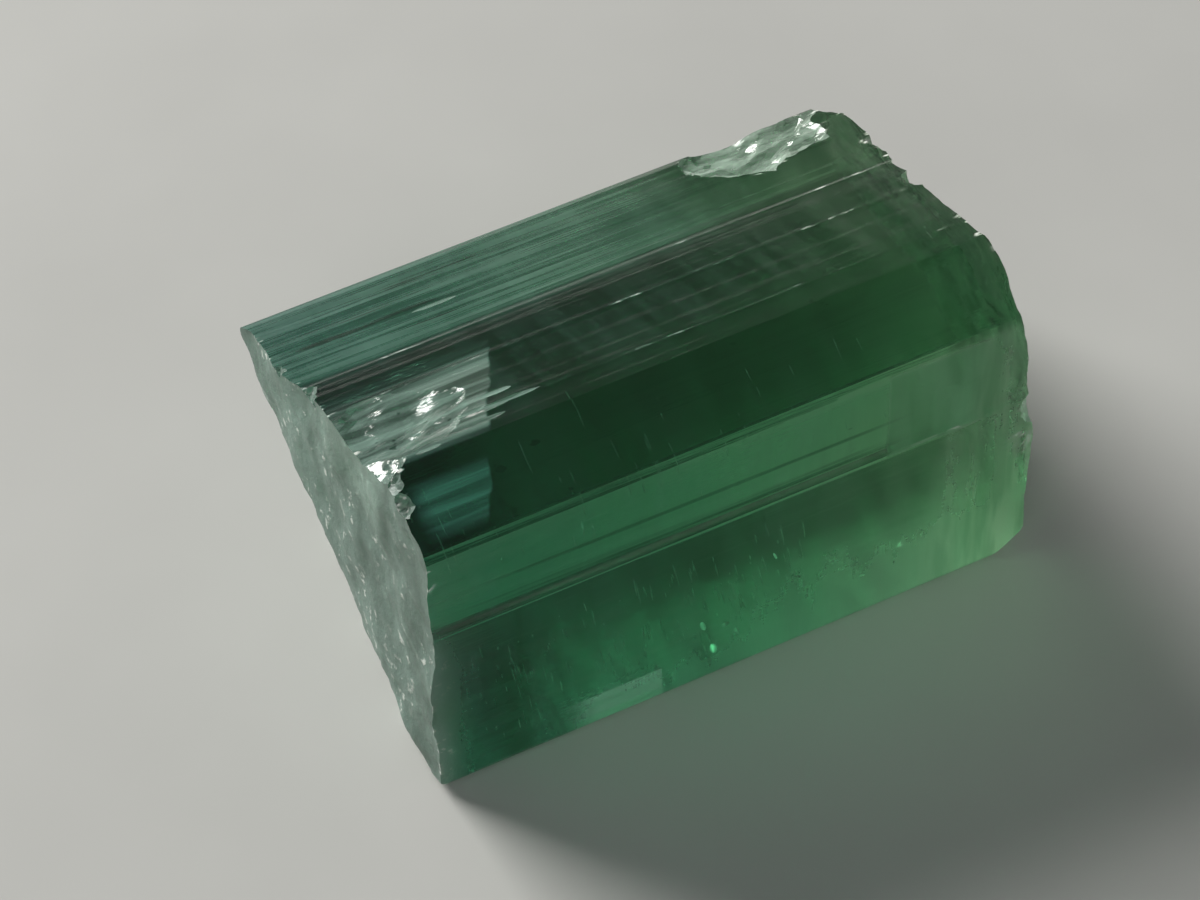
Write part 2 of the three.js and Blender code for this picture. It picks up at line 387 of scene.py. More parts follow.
def left_break(y, z):
    """X of the frosted end's break, which leans and cuts in below towards the back."""
    from_front = y + WIDTH / 2
    undercut = LEFT_UNDERCUT * max(0.0, from_front - 2.1 * z)
    plane = LEFT_X + LEFT_LEAN_Y * from_front + LEFT_LEAN_Z * z + undercut
    return plane + LEFT_SWELL * unevenness(y, z, 0.4) + grain(y, z, 3.0)


def right_break(y, z):
    """X of the other end's break, with a foot that stands out and a dip by the crest."""
    share = min(1.0, max(0.0, (z - FOOT_TO) / (FOOT_FROM - FOOT_TO)))
    foot = FOOT_STANDS * (1 - share * share * (3 - 2 * share))
    away = math.hypot(y - DIP_Y, z - DIP_Z) / DIP_SPREAD
    plane = RIGHT_X + RIGHT_LEAN_Y * max(y, -RIGHT_FLAT) + foot - DIP_DEPTH * math.exp(-away * away)
    return plane + RIGHT_SWELL * unevenness(y, z, 2.1) + grain(y, z, 11.0) + terraces(y, z)


def between_breaks(spacing):
    """Closed block that keeps what lies between the two uneven breaks."""
    ys = np.arange(-WIDTH / 2 - SPARE, WIDTH / 2 + SPARE, spacing)
    zs = np.arange(-SPARE, HEIGHT + SPARE, spacing)
    columns, rows = len(ys), len(zs)
    points = [(left_break(y, z), y, z) for z in zs for y in ys]
    points += [(right_break(y, z), y, z) for z in zs for y in ys]
    right = columns * rows
    faces = []
    for r in range(rows - 1):
        for c in range(columns - 1):
            i = r * columns + c
            faces.append((i, i + columns, i + columns + 1, i + 1))
            faces.append((right + i, right + i + 1, right + i + columns + 1, right + i + columns))
    rim = [*range(columns), *range(2 * columns - 1, right, columns)]
    rim += [*range(right - 2, right - columns - 1, -1), *range(right - 2 * columns, 0, -columns)]
    for a, b in zip(rim, rim[1:] + rim[:1]):
        faces.append((a, b, right + b, right + a))
    return as_tool(add_object("between_breaks", mesh_from("between breaks", points, faces)), BREAK)


def scoop(name, at, size, turn, impact, detail=5, lumps=0.07, kind=CHIP):
    """Ellipsoid with shell-like ripples that spread from its impact point."""
    bm = bmesh.new()
    bmesh.ops.create_icosphere(bm, subdivisions=detail, radius=1.0)
    centre = Vector(impact).normalized()
    rotation = Euler(turn).to_matrix()
    for vertex in bm.verts:
        p = vertex.co.normalized()
        angle = p.angle(centre)
        ripple = SHELL_RIPPLE * math.sin(SHELL_RINGS * angle + 2.5 * noise.noise(p * 2.2))
        uneven = lumps * noise.fractal(p * 1.9 + Vector(at), 0.8, 2.0, 5)
        scaled = Vector(p[i] * size[i] for i in range(3)) * (1 + ripple + uneven)
        vertex.co = (rotation @ scaled + Vector(at)) * MM
    for face in bm.faces:
        face.smooth = True
    return as_tool(object_from(name, bm), kind)


def splinter_places():
    """Middles and half lengths of the splinters: many by the frosted end and a few elsewhere."""
    chance = np.random.default_rng(SPLINTER_SEED)
    places = list(LONE_SPLINTERS)
    for _ in range(SPLINTERS):
        middle = chance.uniform(*SPLINTER_X), chance.uniform(*SPLINTER_Y)
        places.append((*middle, chance.uniform(*SPLINTER_HALF_LENGTH)))
    return places


def splinter(number, x, y, half_length):
    """Long thin scoop that lifts a splinter off the slanted upper side."""
    size = (half_length, 0.16 + 0.05 * math.sin(number), 0.13)
    return scoop(f"splinter_{number}", (x, y, roof_height(y) + 0.02), size,
                 (-0.38, 0.02 * math.sin(3.0 * number), 0), (1, 0, 0.3), detail=3)


def bites():
    """Small random scoops along the upper rims of both ends."""
    chance = np.random.default_rng(BITE_SEED)
    places = []
    for _ in range(BITES_LEFT):
        y = chance.uniform(*BITE_LEFT_Y)
        z = min(roof_height(y), CREST_Z + FRONT_RISE * (y - CREST_Y))
        places.append((left_break(y, z) - 0.1, y, z + 0.1))
    for _ in range(BITES_RIGHT):
        y = chance.uniform(*BITE_RIGHT_Y)
        places.append((right_break(y, roof_height(y)) + 0.15, y, roof_height(y) + 0.12))
    return [dict(at=place, size=tuple(chance.uniform(*BITE_SIZE, 3)),
                 turn=tuple(chance.uniform(*BITE_TURN, 3)),
                 impact=(0, 0, 1), detail=3, lumps=0.3, kind=BREAK) for place in places]


def beyond_cut(name, at, facing):
    """Block that stands on a flat cut and faces away from the crystal."""
    bm = bmesh.new()
    bmesh.ops.create_cube(bm, size=CUT_REACH)
    bmesh.ops.subdivide_edges(bm, edges=bm.edges, cuts=40, use_grid_fill=True)
    turn = Vector((0, 0, 1)).rotation_difference(Vector(facing)).to_matrix()
    for vertex in bm.verts:
        p = turn @ (vertex.co + Vector((0, 0, CUT_REACH / 2))) + Vector(at)
        wave = CUT_WAVE * noise.fractal(p * 1.1, 1.0, 2.0, 4)
        vertex.co = (p + Vector((wave, wave, wave))) * MM
    return as_tool(object_from(name, bm), CHIP)


def cut(obj, tool, operation):
    """Cuts the object with the tool, then takes the tool away."""
    modifier = obj.modifiers.new("cut", "BOOLEAN")
    modifier.operation = operation
    modifier.solver = "MANIFOLD"
    modifier.object = tool
    bake(obj)
    bpy.data.objects.remove(tool)


# ---- surface marks ---------------------------------------------------------------------------

def marks_tree():
    """Stores how frosted a face is, how near it is to a sharp rim, and which faces are chips."""
    tree = Tree("surface marks", {
        "Rim Angle": ("Float", 0.4), "Rim Spread": ("Int", 2), "Material": ("Material", None)})
    kind = tree.add("GeometryNodeInputMaterialIndex").outputs[0]
    geometry = tree.port("Geometry")
    for label, value in (("frost", BREAK), ("chip", CHIP)):
        same = tree.add("FunctionNodeCompare", {2: kind, 3: value}, data_type="INT", operation="EQUAL")
        stored = tree.add("GeometryNodeStoreNamedAttribute", {
            "Geometry": geometry, "Name": label, "Value": same.outputs[0]}, domain="FACE")
        geometry = stored.outputs[0]
    angle = tree.add("GeometryNodeInputMeshEdgeAngle").outputs[0]
    sharp = tree.add("FunctionNodeCompare", {
        0: angle, 1: tree.port("Rim Angle")}, operation="GREATER_THAN")
    rim = tree.add("GeometryNodeBlurAttribute", {
        0: sharp.outputs[0], "Iterations": tree.port("Rim Spread")})
    stored = tree.add("GeometryNodeStoreNamedAttribute", {
        "Geometry": geometry, "Name": "rim", "Value": rim.outputs[0]}, domain="POINT")
    return tree.finish(stored.outputs[0])


def centre_in_box(mesh, low, high):
    """Moves the mesh so that its middle, and its underside, are those of the frame's solid."""
    count = len(mesh.vertices)
    places = np.empty(count * 3)
    mesh.vertices.foreach_get("co", places)
    places = places.reshape(count, 3)
    shift = (np.array(low) + np.array(high) - places.min(0) - places.max(0)) / 2
    shift[2] = low[2] - places[:, 2].min()
    mesh.transform(Matrix.Translation(Vector(shift)))


# ---- sealed flaws ----------------------------------------------------------------------------

def veil_tree():
    """Scatters thin needles over a sheet, in patches, and lets them stray from it a little."""
    tree = Tree("needle veil", {
        "Density": ("Float", 1e7), "Length": ("Float", 0.0005), "Thickness": ("Float", 0.00002),
        "Stray": ("Float", 0.0001), "Direction": ("Vector", (1, 0, 0)), "Patchiness": ("Float", 0.45),
        "Seed": ("Int", 1), "Material": ("Material", None),
    })
    place = tree.add("GeometryNodeInputPosition").outputs[0]
    scattered = tree.add("GeometryNodeDistributePointsOnFaces", {
        "Mesh": tree.port("Geometry"), "Density": tree.port("Density"), "Seed": tree.port("Seed")})
    patches = tree.add("ShaderNodeTexNoise", {"Vector": place, "Scale": 1100.0, "Detail": 2.0})
    inside = tree.add("FunctionNodeCompare", {
        0: patches.outputs[0], 1: tree.port("Patchiness")}, operation="GREATER_THAN")
    stray = tree.add("FunctionNodeRandomValue", {
        0: (-1, -1, -1), 1: (1, 1, 1), "Seed": tree.port("Seed")}, data_type="FLOAT_VECTOR")
    strayed = tree.add("GeometryNodeSetPosition", {
        "Geometry": scattered.outputs[0], "Offset": tree.scale(stray.outputs[0], tree.port("Stray"))})
    needle = tree.add("GeometryNodeMeshIcoSphere", {"Radius": 0.5, "Subdivisions": 1})
    share = tree.add("FunctionNodeRandomValue", {
        2: 0.15, 3: 1.0, "Seed": tree.port("Seed")}, data_type="FLOAT").outputs[1]
    share = tree.math("POWER", share, 1.6)
    size = tree.add("ShaderNodeCombineXYZ", {
        "X": tree.port("Thickness"), "Y": tree.port("Thickness"),
        "Z": tree.math("MULTIPLY", tree.port("Length"), share)})
    jitter = tree.add("FunctionNodeRandomValue", {
        0: (-0.06, -0.06, -0.06), 1: (0.06, 0.06, 0.06), "Seed": tree.port("Seed")},
        data_type="FLOAT_VECTOR")
    heading = tree.add("ShaderNodeVectorMath", {
        0: tree.port("Direction"), 1: jitter.outputs[0]}, operation="ADD")
    turn = tree.add("FunctionNodeAlignRotationToVector", {"Vector": heading.outputs[0]}, axis="Z")
    needles = tree.add("GeometryNodeInstanceOnPoints", {
        "Points": strayed.outputs[0], "Selection": inside.outputs[0], "Instance": needle.outputs[0],
        "Rotation": turn.outputs[0], "Scale": size.outputs[0]})
    return tree.finish(needles.outputs[0])


def make_veil(name, material, at, side, rise, point, density, size, stray, seed):
    """One sheet of needles, as a plain mesh."""
    middle, u, v = Vector(at), Vector(side), Vector(rise)
    corners = [middle - u - v, middle + u - v, middle + u + v, middle - u + v]
    obj = add_object(name, mesh_from(name, corners, [(0, 1, 2, 3)]))
    veil_tree().put_on(obj, **{
        "Density": density / MM ** 2, "Length": size[0] * MM, "Thickness": size[1] * MM,
        "Stray": stray * MM, "Direction": point, "Seed": seed, "Material": material})
    bake(obj)
    return obj


def make_flakes(material):
    """A few larger glittering plates, joined in one mesh."""
    bm = bmesh.new()
    for flake in FLAKES:
        scale = Matrix.Diagonal((*flake["size"], 1.0))
        turn = Euler(flake["turn"]).to_matrix().to_4x4()
        middle = Matrix.Translation(Vector(flake["at"]) * MM)
        bmesh.ops.create_icosphere(bm, subdivisions=2, radius=MM, matrix=middle @ turn @ scale)
    obj = object_from("flakes", bm)
    obj.data.materials.append(material)
    return obj


# ---- materials -------------------------------------------------------------------------------

class Shader(Nodes):
    """A material's node tree, with short calls to mix masks and noise."""

    def __init__(self, name):
        self.material = bpy.data.materials.new(name)
        self.material.use_nodes = True
        super().__init__(self.material.node_tree)
        self.nodes.clear()
        self.output = self.nodes.new("ShaderNodeOutputMaterial")
        self.place = self.add("ShaderNodeTexCoord").outputs["Object"]
        self.axes = {}
        self.patterns = {}

    def surface(self, inputs):
        """Gives the material a Principled surface."""
        made = self.add("ShaderNodeBsdfPrincipled", inputs)
        self.links.new(made.outputs[0], self.output.inputs["Surface"])

    def axis(self, name):
        """The object coordinate x, y or z, in metres."""
        if not self.axes:
            split = self.add("ShaderNodeSeparateXYZ", {0: self.place})
            self.axes = dict(zip("xyz", split.outputs))
        return self.axes[name]

    def noise(self, vector, scale, detail, roughness=0.5):
        return self.add("ShaderNodeTexNoise", {
            "Vector": vector, "Scale": scale, "Detail": detail, "Roughness": roughness}).outputs[0]

    def pattern(self, name):
        """One of the noise PATTERNS, made when it is first asked for."""
        if name not in self.patterns:
            cells, detail, roughness = PATTERNS[name]
            stretched = self.add("ShaderNodeMapping", {"Vector": self.place, "Scale": cells})
            self.patterns[name] = self.noise(stretched.outputs[0], 1.0, detail, roughness)
        return self.patterns[name]

    def range(self, value, low, high, to_low=0.0, to_high=1.0):
        """A value, or a pattern's name: low becomes to_low and high becomes to_high, no further."""
        if isinstance(value, str):
            value = self.pattern(value)
        return self.add("ShaderNodeMapRange", {
            "Value": value, "From Min": low, "From Max": high,
            "To Min": to_low, "To Max": to_high}).outputs[0]

    def smooth(self, value, low, high):
        """0 at low rising smoothly to 1 at high, which may be the smaller of the two."""
        rising = high > low
        return self.add("ShaderNodeMapRange", {
            "Value": value, "From Min": min(low, high), "From Max": max(low, high),
            "To Min": 0.0 if rising else 1.0, "To Max": 1.0 if rising else 0.0},
            interpolation_type="SMOOTHSTEP").outputs[0]

    def zone(self, name):
        """Mask of one of the ZONES."""
        fades = [self.smooth(self.axis(axis), none * MM, full * MM) for axis, none, full in ZONES[name]]
        return self.times(*fades)

    def near(self, place, full, none):
        """1 within the first distance of a place, falling to 0 at the second, in mm."""
        centre = [c * MM for c in place]
        away = self.add("ShaderNodeVectorMath", {0: self.place, 1: centre}, operation="DISTANCE")
        return self.smooth(away.outputs["Value"], none * MM, full * MM)

    def times(self, *factors):
        """The product of all the factors."""
        product = factors[0]
        for factor in factors[1:]:
            product = self.math("MULTIPLY", product, factor)
        return product

    def most(self, *values):
        """The greatest of the values."""
        greatest = values[0]
        for value in values[1:]:
            greatest = self.math("MAXIMUM", greatest, value)
        return greatest

    def rest(self, value):
        """1 minus the value."""
        return self.math("SUBTRACT", 1.0, value)

    def mark(self, label):
        return self.add("ShaderNodeAttribute", attribute_name=label).outputs["Fac"]

    def mix(self, factor, a, b):
        """Colour that goes from a to b."""
        return self.add("ShaderNodeMix", {0: factor, 6: a, 7: b}, data_type="RGBA").outputs[2]

    def blend(self, factor, a, b):
        """Single value that goes from a to b."""
        return self.add("ShaderNodeMix", {0: factor, 2: a, 3: b}).outputs[0]


TEAL = (0.13, 0.48, 0.37, 1.0)
GREEN = (0.34, 0.70, 0.50, 1.0)
LIME = (0.92, 0.98, 0.80, 1.0)
# Pale of the abraded lower corner: wear, and partly a painted glow of light leaving the corner.
PALE_WEAR_AND_GLOW = (0.88, 0.98, 0.80, 1.0)
MINT = (0.70, 0.90, 0.76, 1.0)
FROST = (0.42, 0.52, 0.46, 1.0)
# White of the nicks, and of the painted glints below the notch.
FLAKE_AND_GLINT_WHITE = (0.90, 0.95, 0.88, 1.0)
ABSORBED = (0.32, 0.66, 0.46, 1.0)
STEP_MINT = (0.46, 0.66, 0.56, 1.0)
# Teal of the painted internal reflection on the front slope.
REFLECTION_TEAL = (0.10, 0.44, 0.30, 1.0)
FLAP_GREEN = (0.42, 0.88, 0.64, 1.0)
CURTAIN_GREEN = (0.26, 0.60, 0.34, 1.0)
SHADE = (0.02, 0.10, 0.06, 1.0)
COLUMN_GREEN = (0.16, 0.42, 0.22, 1.0)

# Noise patterns of the crystal: cells for each metre along X, Y and Z, octaves, and roughness.
PATTERNS = {
    "grooves": ((88, 6000, 6000), 4.0, 0.65),
    "threads": ((150, 3400, 3400), 2.0, 0.6),
    "slivers": ((230, 4400, 4400), 1.0, 0.5),
    "ripples": ((700, 1700, 1700), 3.0, 0.6),
    "spots": ((1500, 3200, 3200), 2.0, 0.6),
    "specks": ((1500, 2400, 2400), 2.0, 0.5),
    "gaps": ((420, 900, 900), 2.0, 0.5),
    "grit": ((2600, 2600, 2600), 3.0, 0.7),
    "waver": ((900, 900, 900), 2.0, 0.5),
    "mottle": ((600, 620, 420), 3.0, 0.6),
    "sheen": ((180, 240, 340), 1.0, 0.5),
    "cloud": ((120, 160, 160), 2.0, 0.5),
    "streaks": ((1600, 500, 220), 2.0, 0.6),
    "bands": ((1000, 110, 110), 4.0, 0.75),
}

# Zones of the crystal's surface. Each fades in along one or more axes: it has none of its mark
# at the first place and all of it at the second, in mm.
ZONES = {
    "glassy": [("x", 6.0, 8.0)],
    "rubbed": [("x", -9.0, -10.4), ("z", 7.4, 5.8), ("y", -5.0, -6.2)],
    "far half": [("x", -2.0, 4.0)],
    "roof": [("z", 7.0, 8.0)],
    "step": [("y", 1.2, -0.6), ("y", -3.8, -3.0), ("z", 7.0, 8.0)],
    # Painted internal reflection: a teal milky patch on the front slope.
    "reflection_patch": [("y", -4.2, -4.6), ("y", -6.0, -5.5), ("x", -9.8, -9.0)],
    "flap": [("x", -6.6, -5.0), ("x", -2.95, -3.05), ("z", 1.4, 1.3), ("y", -6.0, -6.4)],
    "curtain": [("x", 4.35, 4.55), ("x", 8.5, 7.0), ("y", -5.7, -6.0), ("z", 6.3, 6.7), ("z", 9.8, 9.5)],
    "columns": [("x", 4.5, 7.5), ("y", -5.2, -5.8)],
    "milky back": [("y", 1.5, 2.8), ("x", 6.0, -1.0)],
    "milky front": [("z", 4.6, 0.2), ("x", -8.0, 10.0)],
    "milky foot": [("z", 2.2, 0.3), ("x", -8.0, -4.5)],
    "milky right": [("x", 4.0, 10.5), ("y", -2.0, -5.0), ("z", 10.2, 8.6)],
    "milky left": [("x", -7.6, -10.3), ("z", 7.2, 4.4)],
    "below crest": [("z", 11.2, 8.4)],
    "front seam": [("y", -5.5, -6.0), ("x", 4.0, 7.0)],
    "dark lines": [("y", -5.8, -6.1), ("x", 5.5, 3.0)],
    "dark dashes": [("y", 2.4, 3.0), ("x", 4.0, 0.0)],
}

# More places and widths, in mm: the crack that ends the broken zone and the painted reflection patch,
# and its slant; the abraded corner, whose pale is partly a painted glow; the notch and its rays, which
# are painted glints; half widths of the seam lines and dark lines; and heights of the bumps.
CRACK_NONE, CRACK_FULL, CRACK_SLANT, CRACK_WAVER = -5.0, -5.15, 0.466, 0.08
WORN_CORNER, WORN_FULL, WORN_NONE = (9.8, -7.0, 0.0), 0.5, 4.2
NOTCH, RAYS_FULL, RAYS_NONE, RAYS_DROP = (10.0, -6.8, 5.5), 0.9, 1.8, 0.3
SEAM_CORE, ROOF_SEAM_EDGE, FRONT_SEAM_EDGE = 0.02, 0.07, 0.08
LINE_CORE, LINE_EDGE = 0.03, 0.11
GROOVE_BUMP, RIPPLE_BUMP, GRIT_BUMP = 0.03, 0.12, 0.08


def tourmaline_material(settings):
    """Clear green crystal: grooved glassy sides, rippled chips and frosted breaks.

    Each fault of the surface has a mask. The masks tint the base colour, and they take away some
    of the transmission, which leaves the surface milky there. Three masks are partly painted light:
    the pale glow of the abraded corner, the teal patch of an internal reflection, and the glinting
    rays below the notch.
    """
    shader = Shader("tourmaline_green")
    broken, chip, rim = (shader.mark(label) for label in ("frost", "chip", "rim"))
    frost, nicks = frosting(shader, broken, rim)
    # Abraded lower corner: real wear, and its pale colour is partly a painted glow.
    worn_and_glow = shader.near(WORN_CORNER, WORN_FULL, WORN_NONE)
    # The second mask is a painted internal reflection, not cracked ground.
    step, reflection_patch, flap, curtain = broken_and_reflection_zones(shader)
    step = shader.times(step, shader.rest(chip))
    columns = shader.times(shader.zone("columns"), shader.range("streaks", 0.54, 0.40, 0.0, 0.45))
    marks = shader.times(dark_marks(shader), shader.rest(broken))
    # Ridge nicks, and the painted glints of the rays below the notch.
    seams_and_glints = shader.most(seam_dots(shader), notch_glint_rays(shader))
    milk = milkiness(shader)

    colour = tourmaline_colour(shader, frost, chip, worn_and_glow, nicks)
    # Among these tints, the reflection patch and the notch rays in the seams are painted light.
    tints = (
        (step, STEP_MINT), (reflection_patch, REFLECTION_TEAL), (flap, FLAP_GREEN), (curtain, CURTAIN_GREEN),
        (columns, COLUMN_GREEN), (marks, SHADE), (seams_and_glints, FLAKE_AND_GLINT_WHITE))
    for mask, tint in tints:
        colour = shader.mix(mask, colour, tint)

    roughness = shader.range("grooves", 0.35, 0.75, 0.05, 0.14)
    roughness = shader.math("ADD", roughness, shader.times(milk, 1.6))
    roughness = shader.blend(frost, roughness, shader.range("grit", 0.3, 0.7, 0.40, 0.60))
    roughness = shader.math("ADD", roughness, shader.times(curtain, 0.4))
    roughness = shader.blend(worn_and_glow, roughness, 0.6)

    chip_haze = shader.blend(
        shader.zone("far half"), shader.range("threads", 0.38, 0.70, 0.12, 0.44),
        shader.range("ripples", 0.42, 0.66, 0.16, 0.52))
    haze = shader.math("ADD", milk, shader.times(chip, chip_haze))
    layers = (
        (frost, shader.range("mottle", 0.36, 0.64, 0.24, 0.52)),
        (nicks, 0.9),
        (worn_and_glow, 0.15),
        (step, shader.range("threads", 0.42, 0.68, 0.08, 0.42)),
        (reflection_patch, shader.range("threads", 0.40, 0.62, 0.22, 0.55)),
        (flap, shader.range("threads", 0.35, 0.65, 0.30, 0.60)),
        (curtain, shader.times(
            shader.range("streaks", 0.35, 0.65, 0.2, 0.5),
            shader.range(shader.axis("x"), 4.5 * MM, 7.2 * MM, 0.5, 1.0))),
        (seams_and_glints, 0.7),
    )
    for mask, amount in layers:
        haze = shader.most(haze, shader.times(mask, amount))

    shader.surface({
        "Base Color": colour, "Roughness": roughness, "IOR": settings.refraction,
        "Transmission Weight": shader.rest(haze), "Normal": bumps(shader, frost, chip, rim)})
    volume = shader.add("ShaderNodeVolumeAbsorption", {
        "Color": ABSORBED, "Density": settings.absorption})
    shader.links.new(volume.outputs[0], shader.output.inputs["Volume"])
    return shader.material


def frosting(shader, broken, rim):
    """Two masks: the frosted ground, and the white nicks on rims and sparks in that ground.

    The breaks are frosted, but the right end has glassy areas. The front edge by the left end is
    rubbed as matt as the break.
    """
    glassy = shader.times(shader.zone("glassy"), shader.range("sheen", 0.40, 0.60, 0.35, 0.95))
    frost = shader.times(broken, shader.rest(glassy))
    frost = shader.most(frost, shader.zone("rubbed"))
    nicks = shader.times(shader.range("spots", 0.58, 0.66), shader.range(rim, 0.14, 0.45))
    sparks = shader.times(
        shader.range("grit", 0.58, 0.63, 0.0, 0.85), frost,
        shader.range("mottle", 0.46, 0.56, 0.1, 1.0))
    return frost, shader.most(nicks, sparks)


def bumps(shader, frost, chip, rim):
    """Relief too fine for the mesh: grooves everywhere, ripples on chips, grit on breaks and rims."""
    grit_share = shader.math("ADD", shader.times(frost, 0.6), shader.times(rim, 0.3))
    reliefs = (
        ("grooves", GROOVE_BUMP, 0.3),
        ("ripples", RIPPLE_BUMP, shader.times(chip, 0.7)),
        ("grit", GRIT_BUMP, grit_share),
    )
    normal = {}
    for name, height, strength in reliefs:
        bump = shader.add("ShaderNodeBump", {
            "Strength": strength, "Distance": height * MM, "Height": shader.pattern(name), **normal})
        normal = {"Normal": bump.outputs[0]}
    return bump.outputs[0]


def broken_and_reflection_zones(shader):
    """Cracked ground, pale on the roof; a teal milky patch on the front slope by the frosted end, which
    is a painted internal reflection; and two more.

    The first two stop sharply towards +X, where a crack crosses the prism on a slant. The flap is
    a thin loose sliver low on the front face, with a straight top and right edge. The curtain is
    a healed crack under the upper front face, which starts sharply and fades towards +X.
    """
    slant = shader.times(shader.axis("y"), CRACK_SLANT)
    crack = shader.math("SUBTRACT", shader.axis("x"), slant)
    waver = shader.range("waver", 0.3, 0.7, -CRACK_WAVER * MM, CRACK_WAVER * MM)
    crack = shader.math("ADD", crack, waver)
    before_crack = shader.smooth(crack, CRACK_NONE * MM, CRACK_FULL * MM)
    step = shader.times(before_crack, shader.zone("step"))
    # Painted internal reflection, cut off by the same crack.
    reflection_patch = shader.times(before_crack, shader.zone("reflection_patch"))
    return step, reflection_patch, shader.zone("flap"), shader.zone("curtain")


def milkiness(shader):
    """Fine veils that reach the surface: in five zones, and very faintly over the rest."""
    parts = (
        ("milky back", shader.range("grooves", 0.35, 0.7, 0.07, 0.24)),
        ("milky front", shader.range("bands", 0.35, 0.65, 0.18, 0.32)),
        ("milky foot", shader.range("bands", 0.35, 0.65, 0.14, 0.26)),
        ("milky right", shader.range("bands", 0.4, 0.65, 0.06, 0.20)),
        ("milky left", shader.times(shader.range("streaks", 0.38, 0.62, 0.55, 1.25), 0.18)),
    )
    milk = shader.most(*[shader.times(shader.zone(name), amount) for name, amount in parts])
    milk = shader.times(milk, shader.range("cloud", 0.3, 0.6, 0.7, 1.1))
    faint = shader.times(
        shader.range("bands", 0.42, 0.66, 0.0, 0.07), shader.zone("below crest"),
        shader.range(shader.axis("y"), -1.5 * MM, 1.5 * MM, 1.0, 0.3))
    return shader.math("ADD", milk, faint)


def seam_dots(shader):
    """Dotted pale nicks that follow the ridges of the roof and the right part of the front ridge."""
    growth = shader.math("ADD", 1.0, shader.times(shader.axis("x"), TAPER / MM))
    from_front = shader.math("ADD", shader.axis("y"), WIDTH / 2 * MM)
    from_front = shader.math("DIVIDE", from_front, growth)
    height = shader.math("DIVIDE", shader.axis("z"), growth)
    nearest = distance_to(shader, from_front, ROOF_RIDGES)
    dots = shader.times(shader.range("spots", 0.54, 0.68, 0.04, 0.9), shader.range("gaps", 0.42, 0.56))
    roof = shader.times(
        shader.smooth(nearest, ROOF_SEAM_EDGE * MM, SEAM_CORE * MM), shader.zone("roof"), dots)
    nearest = distance_to(shader, height, [FRONT_RIDGE_Z])
    front = shader.times(
        shader.smooth(nearest, FRONT_SEAM_EDGE * MM, SEAM_CORE * MM), shader.zone("front seam"),
        shader.range("spots", 0.50, 0.60, 0.0, 0.9))
    return shader.most(roof, front)


def distance_to(shader, value, lines):
    """Distance from a coordinate to the nearest of the lines, which are given in mm."""
    nearest = None
    for line in lines:
        away = shader.math("ABSOLUTE", shader.math("SUBTRACT", value, line * MM))
        nearest = away if nearest is None else shader.math("MINIMUM", nearest, away)
    return nearest


def notch_glint_rays(shader):
    """Painted glints: pale rays that fan out below the notch on the edge at the right, where light glints
    inside the crystal.
    """
    centre = [c * MM for c in NOTCH]
    away = shader.add("ShaderNodeVectorMath", {0: shader.place, 1: centre}, operation="SUBTRACT")
    heading = shader.add("ShaderNodeVectorMath", {0: away.outputs[0]}, operation="NORMALIZE")
    rays = shader.range(shader.noise(heading.outputs[0], 9.0, 1.0), 0.52, 0.60)
    below = shader.smooth(shader.axis("z"), centre[2], centre[2] - RAYS_DROP * MM)
    return shader.times(rays, shader.near(NOTCH, RAYS_FULL, RAYS_NONE), below)


def dark_marks(shader):
    """Thin dark lines along the front face, small dark pits on the roof and dashes at its back."""
    nearest = distance_to(shader, shader.axis("z"), DARK_LINES)
    lines = shader.times(
        shader.smooth(nearest, LINE_EDGE * MM, LINE_CORE * MM),
        shader.range("threads", 0.38, 0.55, 0.15, 0.8), shader.zone("dark lines"))
    pits = shader.times(
        shader.range("specks", 0.70, 0.74, 0.0, 0.8), shader.zone("roof"),
        shader.range("cloud", 0.45, 0.55))
    dashes = shader.times(
        shader.range("slivers", 0.68, 0.72, 0.0, 0.85), shader.zone("dark dashes"))
    return shader.most(lines, pits, dashes)


def tourmaline_colour(shader, frost, chip, worn_and_glow, nicks):
    """Teal at the frosted end through green to lime, pale where flaked and where abraded; the abraded
    corner's pale is partly a painted glow of light that leaves the crystal there.
    """
    along = shader.range(shader.axis("x"), -10 * MM, 10 * MM)
    along = shader.math("ADD", along, shader.range("cloud", 0.3, 0.7, -0.08, 0.08))
    ramp = shader.add("ShaderNodeValToRGB", {"Fac": along})
    stops = ramp.color_ramp.elements
    stops[0].position, stops[0].color = 0.05, TEAL
    stops[1].position, stops[1].color = 1.0, LIME
    middle = stops.new(0.6)
    middle.color = GREEN
    flaked = shader.mix(shader.zone("far half"), STEP_MINT, MINT)
    colour = shader.mix(shader.times(chip, 0.85), ramp.outputs[0], flaked)
    # Pale at the abraded corner: wear, and partly a painted glow.
    colour = shader.mix(worn_and_glow, colour, PALE_WEAR_AND_GLOW)
    colour = shader.mix(shader.times(frost, 0.75), colour, FROST)
    return shader.mix(nicks, colour, FLAKE_AND_GLINT_WHITE)


def flaw_material():
    """Sealed crack or tube, whose walls turn light back like a dull mirror."""
    shader = Shader("sealed flaw")
    tone = shader.range(shader.noise(shader.place, 900.0, 2.0), 0.3, 0.7, 0.75, 0.95)
    colour = shader.add("ShaderNodeCombineColor", {
        0: shader.times(tone, 0.86), 1: tone, 2: shader.times(tone, 0.9)})
    shader.surface({"Base Color": colour.outputs[0], "Roughness": 0.4, "Metallic": 1.0})
    return shader.material


def floor_material():
    """Plain pale matt floor."""
    shader = Shader("floor")
    tone = shader.range(shader.noise(shader.place, 90.0, 3.0), 0.3, 0.7, 0.56, 0.60)
    colour = shader.add("ShaderNodeCombineColor", {0: tone, 1: tone, 2: shader.times(tone, 0.96)})
    shader.surface({"Base Color": colour.outputs[0], "Roughness": 0.85})
    return shader.material


# ---- settings, operators and panel -----------------------------------------------------------

